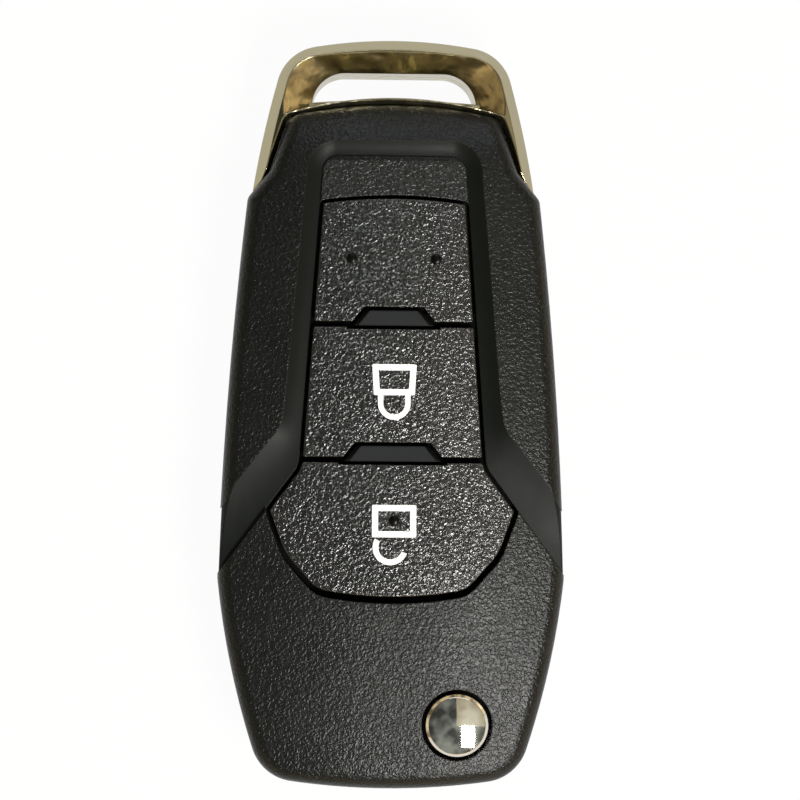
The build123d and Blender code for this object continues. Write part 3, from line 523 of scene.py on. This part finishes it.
def join_faces(piece):
    """Joins the moulding's faces along their shared lines.

    Each face keeps its own surface's normals, and the two halves meet evenly on the middle line.
    """
    mesh = piece.data
    kept = mesh.attributes.new("surface_normal", "FLOAT_VECTOR", "CORNER")
    for corner, normal in zip(kept.data, mesh.corner_normals):
        corner.vector = normal.vector
    make_active(piece)
    bpy.ops.mesh.customdata_custom_splitnormals_clear()
    start_edit(piece)
    bpy.ops.mesh.remove_doubles(threshold=seam * mm)
    end_edit()
    bpy.ops.object.shade_smooth()
    normals = []
    for loop, corner in zip(mesh.loops, mesh.attributes["surface_normal"].data):
        normal = corner.vector.copy()
        off_middle = abs(mesh.vertices[loop.vertex_index].co.x) / (even_width * mm)
        if off_middle < 1 and abs(normal.x) < even_lean:
            normal.x *= off_middle
        normals.append(tuple(normal.normalized()))
    mesh.normals_split_custom_set(normals)
    mesh.attributes.remove(mesh.attributes["surface_normal"])


def dress_front_cover():
    """Copy of the front cover whose faces have their own finishes."""
    finishes = [cover_finish, band_finish, shelf_finish, tab_finish, keyway_shade]
    piece = copied_node("front_cover", "front_moulding", finishes)
    # A new piece can be looked at only after an update
    bpy.context.view_layer.update()
    faces = moulded_faces(piece.data)
    finish_of = {}
    for index, spots in enumerate((band_spots, shelf_spots, tab_spots, crossbar_spots), start=1):
        for x, y in spots:
            for side in (-1, 1):
                triangle = look(piece, (side * x, y, above), down)[2]
                finish_of[faces[triangle]] = index
    # The keyways' walls that these looks meet take the dull near-black painted shade
    for (x, y), way in keyway_looks:
        way = Vector((*way, 0))
        normal, triangle = look(piece, (x, y, keyway_height), way)[1:]
        faces_the_look = normal.dot(way) < -0.5
        if faces_the_look:
            finish_of[faces[triangle]] = finishes.index(keyway_shade)
    for triangle, face in zip(piece.data.polygons, faces):
        triangle.material_index = finish_of.get(face, 0)
    join_faces(piece)
    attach(piece, "case")
    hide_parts("front_cover")


dress_front_cover()


# Spring under the button, which gives way as the button goes down


def make_pivot_spring():
    """Copy of the spring that moves with the blade, with a mesh of its own."""
    piece = copied_node("pivot_spring", "coiled_pivot_spring", [spring_metal])
    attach(piece, "blade")
    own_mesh(piece)
    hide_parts("pivot_spring")


make_pivot_spring()


# Padlocks, printed on the keys


def frame_of_ink(middle, width, foot_width, height):
    """Padlock's body in one line, flat over the keys, with soft corners and perhaps a narrower foot."""
    x, y = middle
    deselect()
    bpy.ops.mesh.primitive_plane_add(size=1, location=(x * mm, y * mm, drawing_height * mm))
    piece = bpy.context.active_object
    piece.scale = (width * mm, height * mm, 1)
    bpy.ops.object.transform_apply(location=True, rotation=True, scale=True)
    for vertex in piece.data.vertices:
        if vertex.co.y < y * mm:
            vertex.co.x = x * mm + (vertex.co.x - x * mm) * foot_width / width
    start_edit(piece)
    bpy.ops.mesh.bevel(offset=ink_corner * mm, segments=3, affect="VERTICES")
    bpy.ops.mesh.select_all(action="SELECT")
    bpy.ops.mesh.inset(thickness=ink_line * mm)
    bpy.ops.mesh.delete(type="FACE")
    end_edit()
    return piece


def ring_of_ink(middle, radius, line):
    """Circle in one line, flat over the keys."""
    x, y = middle
    deselect()
    place = (x * mm, y * mm, drawing_height * mm)
    bpy.ops.mesh.primitive_circle_add(
        vertices=72, radius=(radius + line / 2) * mm, fill_type="NGON", location=place
    )
    piece = bpy.context.active_object
    bpy.ops.object.transform_apply(location=True, rotation=True, scale=True)
    start_edit(piece)
    bpy.ops.mesh.inset(thickness=line * mm)
    bpy.ops.mesh.delete(type="FACE")
    end_edit()
    return piece


def cut_off(piece, place, ahead, right_of=-math.inf):
    """Takes away what lies ahead of a line through a place, as far as it is right of another place."""
    for vertex in piece.data.vertices:
        vertex.select = vertex.co.x > right_of * mm
    make_active(piece)
    bpy.ops.object.mode_set(mode="EDIT")
    x, y = place
    bpy.ops.mesh.bisect(plane_co=(x * mm, y * mm, 0), plane_no=(*ahead, 0), clear_outer=True)
    end_edit()


def joined(pieces, name):
    """Makes several drawings one piece with a name."""
    make_active(pieces[0])
    for piece in pieces:
        piece.select_set(True)
    bpy.ops.object.join()
    pieces[0].name = name
    pieces[0].data.name = name
    return pieces[0]


def lay_on_key(piece, key):
    """Presses a flat drawing onto a key's crowned face and gives it the ink's thickness."""
    start_edit(piece)
    bpy.ops.mesh.subdivide(number_cuts=3)
    end_edit()
    wrap = piece.modifiers.new("on_key", "SHRINKWRAP")
    wrap.target = nodes[key]
    wrap.wrap_method = "PROJECT"
    wrap.use_project_z = True
    wrap.use_negative_direction = True
    wrap.use_positive_direction = False
    bpy.ops.object.modifier_apply(modifier=wrap.name)
    film = piece.modifiers.new("film", "SOLIDIFY")
    film.thickness = ink_height * mm
    film.offset = 1.0
    bpy.ops.object.modifier_apply(modifier=film.name)
    piece.data.materials.clear()
    piece.data.materials.append(white_ink)
    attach(piece, key)


def make_lock_symbol():
    """Closed padlock on the middle key, with its shackle towards the foot of the fob."""
    body = frame_of_ink(lock_middle, lock_top_width, lock_foot_width, lock_height)
    foot = lock_middle[1] - lock_height / 2
    middle = (lock_middle[0], foot - shackle_drop)
    shackle = ring_of_ink(middle, (shackle_width - shackle_line) / 2, shackle_line)
    cut_off(shackle, middle, ahead=(0, 1))
    # The cut ends are still selected, and are drawn out up to the body
    bpy.ops.object.mode_set(mode="EDIT")
    bpy.ops.mesh.extrude_region_move(TRANSFORM_OT_translate={"value": (0, shackle_drop * mm, 0)})
    end_edit()
    lay_on_key(joined([body, shackle], "lock_symbol"), "lock_key")


def make_unlock_symbol():
    """Open padlock on the lowest key, whose hook stops short of the body on the right."""
    body = frame_of_ink(unlock_middle, unlock_width, unlock_width, unlock_height)
    foot = unlock_middle[1] - unlock_height / 2
    hook = ring_of_ink(hook_middle, hook_radius, hook_line)
    cut_off(hook, (0, foot), ahead=(0, 1))
    turn = math.radians(hook_end)
    cut_off(hook, hook_middle, ahead=(-math.sin(turn), math.cos(turn)), right_of=hook_middle[0])
    lay_on_key(joined([body, hook], "unlock_symbol"), "unlock_key")


make_lock_symbol()
make_unlock_symbol()


# Pips that tell the keys apart by touch


def make_pip(key, index, x, y):
    """Small polished dome that stands out of a key's face."""
    face = look(nodes[key], (x, y, above), down)[0]
    deselect()
    bpy.ops.mesh.primitive_uv_sphere_add(
        segments=32, ring_count=16, radius=pip_radius * mm, location=(x * mm, y * mm, face.z)
    )
    pip = bpy.context.active_object
    pip.name = f"{key}_pip_{index}"
    pip.scale = (1, 1, pip_height / pip_radius)
    bpy.ops.object.transform_apply(location=True, rotation=True, scale=True)
    bpy.ops.object.shade_smooth()
    pip.data.materials.append(pip_finish)
    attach(pip, key)


for key, places in pip_places.items():
    for index, (x, y) in enumerate(places, start=1):
        make_pip(key, index, x, y)


# Table, light and camera


def make_table():
    """Plain pale table that the camera and the metal see as white, with the fob's shadow on it."""
    deselect()
    bpy.ops.mesh.primitive_plane_add(size=table_size * mm, location=(0, 0, -table_drop * mm))
    table = bpy.context.active_object
    table.name = "floor"
    material, tree, shader, _ = new_material("pale_table", "#eeeeec")
    set_inputs(tree, shader, {"Roughness": 0.9})
    rays = add(tree, "LightPath").outputs
    seen = add(tree, "Math", {0: rays["Is Camera Ray"], 1: rays["Is Glossy Ray"]}, operation="MAXIMUM")
    seen = add(tree, "Math", {0: seen, 1: rays["Is Transmission Ray"]}, operation="MAXIMUM")
    share = add(tree, "Math", {0: seen, 1: table_white}, operation="MULTIPLY")
    white = add(tree, "Emission", {"Color": colour("#ffffff"), "Strength": 1.0})
    mix = add(tree, "MixShader", {0: share, 1: shader, 2: white})
    set_inputs(tree, tree.nodes["Material Output"], {"Surface": mix})
    table.data.materials.append(material)


def area_light(name, place, size, power, shade):
    """Soft rectangular lamp, aimed at the fob."""
    deselect()
    bpy.ops.object.light_add(type="AREA", location=[v * mm for v in place])
    lamp = bpy.context.active_object
    lamp.name = name
    lamp.data.shape = "RECTANGLE"
    lamp.data.size = size[0] * mm
    lamp.data.size_y = size[1] * mm
    lamp.data.energy = power
    lamp.data.color = colour(shade)[:3]
    away = Vector(place) - Vector(lamp_aim)
    lamp.rotation_euler = Vector((0, 0, 1)).rotation_difference(away).to_euler()


def make_room():
    """Room round the fob: dim overhead, with mottled warm walls that the window lights on one side."""
    world = bpy.data.worlds.new("room")
    bpy.context.scene.world = world
    world.use_nodes = True
    tree = world.node_tree
    tree.nodes.clear()
    direction = add(tree, "TexCoord").outputs["Generated"]
    height = add(tree, "SeparateXYZ", {"Vector": direction}).outputs["Z"]
    ramp = add(tree, "ValToRGB", {"Fac": height})
    stops = ramp.color_ramp.elements
    stops[0].color = colour(room_shades[0][1])
    stops[1].color = colour(room_shades[-1][1])
    for position, shade in room_shades[1:-1]:
        stops.new(position).color = colour(shade)
    noise = add(tree, "TexNoise", {"Vector": direction, "Scale": 2.6, "Detail": 2.0})
    patches = {"Value": noise, "From Min": 0.4, "From Max": 0.6, "To Min": 0.3, "To Max": 1.6}
    mottle = add(tree, "MapRange", patches)
    facing = add(tree, "VectorMath", {0: direction, 1: lit_side}, operation="DOT_PRODUCT")
    facing = facing.outputs["Value"]
    sides = {"Value": facing, "From Min": -0.7, "From Max": 0.7, "To Min": 0.6, "To Max": 1.5}
    lit = add(tree, "MapRange", sides, interpolation_type="SMOOTHSTEP")
    level = add(tree, "Math", {0: mottle, 1: lit}, operation="MULTIPLY")
    walls = add(tree, "Background", {"Color": ramp, "Strength": level})
    white = add(tree, "Background", {"Color": colour("#ffffff"), "Strength": 1.0})
    seen = add(tree, "LightPath").outputs["Is Camera Ray"]
    mix = add(tree, "MixShader", {0: seen, 1: walls, 2: white})
    add(tree, "OutputWorld", {"Surface": mix})


def make_camera():
    """Camera over the keys, a little to the left, at the photograph's distance and turn."""
    deselect()
    away = Vector(camera_place) - Vector(camera_aim)
    tilt = Quaternion((0, 1, 0), math.atan2(away.x, away.z))
    turn = tilt @ Quaternion((0, 0, 1), math.radians(camera_roll))
    bpy.ops.object.camera_add(location=Vector(camera_place) * mm, rotation=turn.to_euler())
    camera = bpy.context.active_object
    camera.data.sensor_width = sensor_width
    camera.data.lens = sensor_width * away.length / frame_width
    camera.data.clip_start = 10 * mm
    bpy.context.scene.camera = camera


make_table()
area_light("window", place=(98, -142, 330), size=(80, 140), power=1.3, shade="#fffdfa")
area_light("ceiling", place=(60, 340, 330), size=(300, 200), power=0.45, shade="#f2f7ff")
area_light("wall_beside_window", place=(118, 32, 330), size=(205, 215), power=0.075, shade="#e9dcc0")
make_room()
make_camera()
bpy.context.scene.view_settings.view_transform = "Standard"
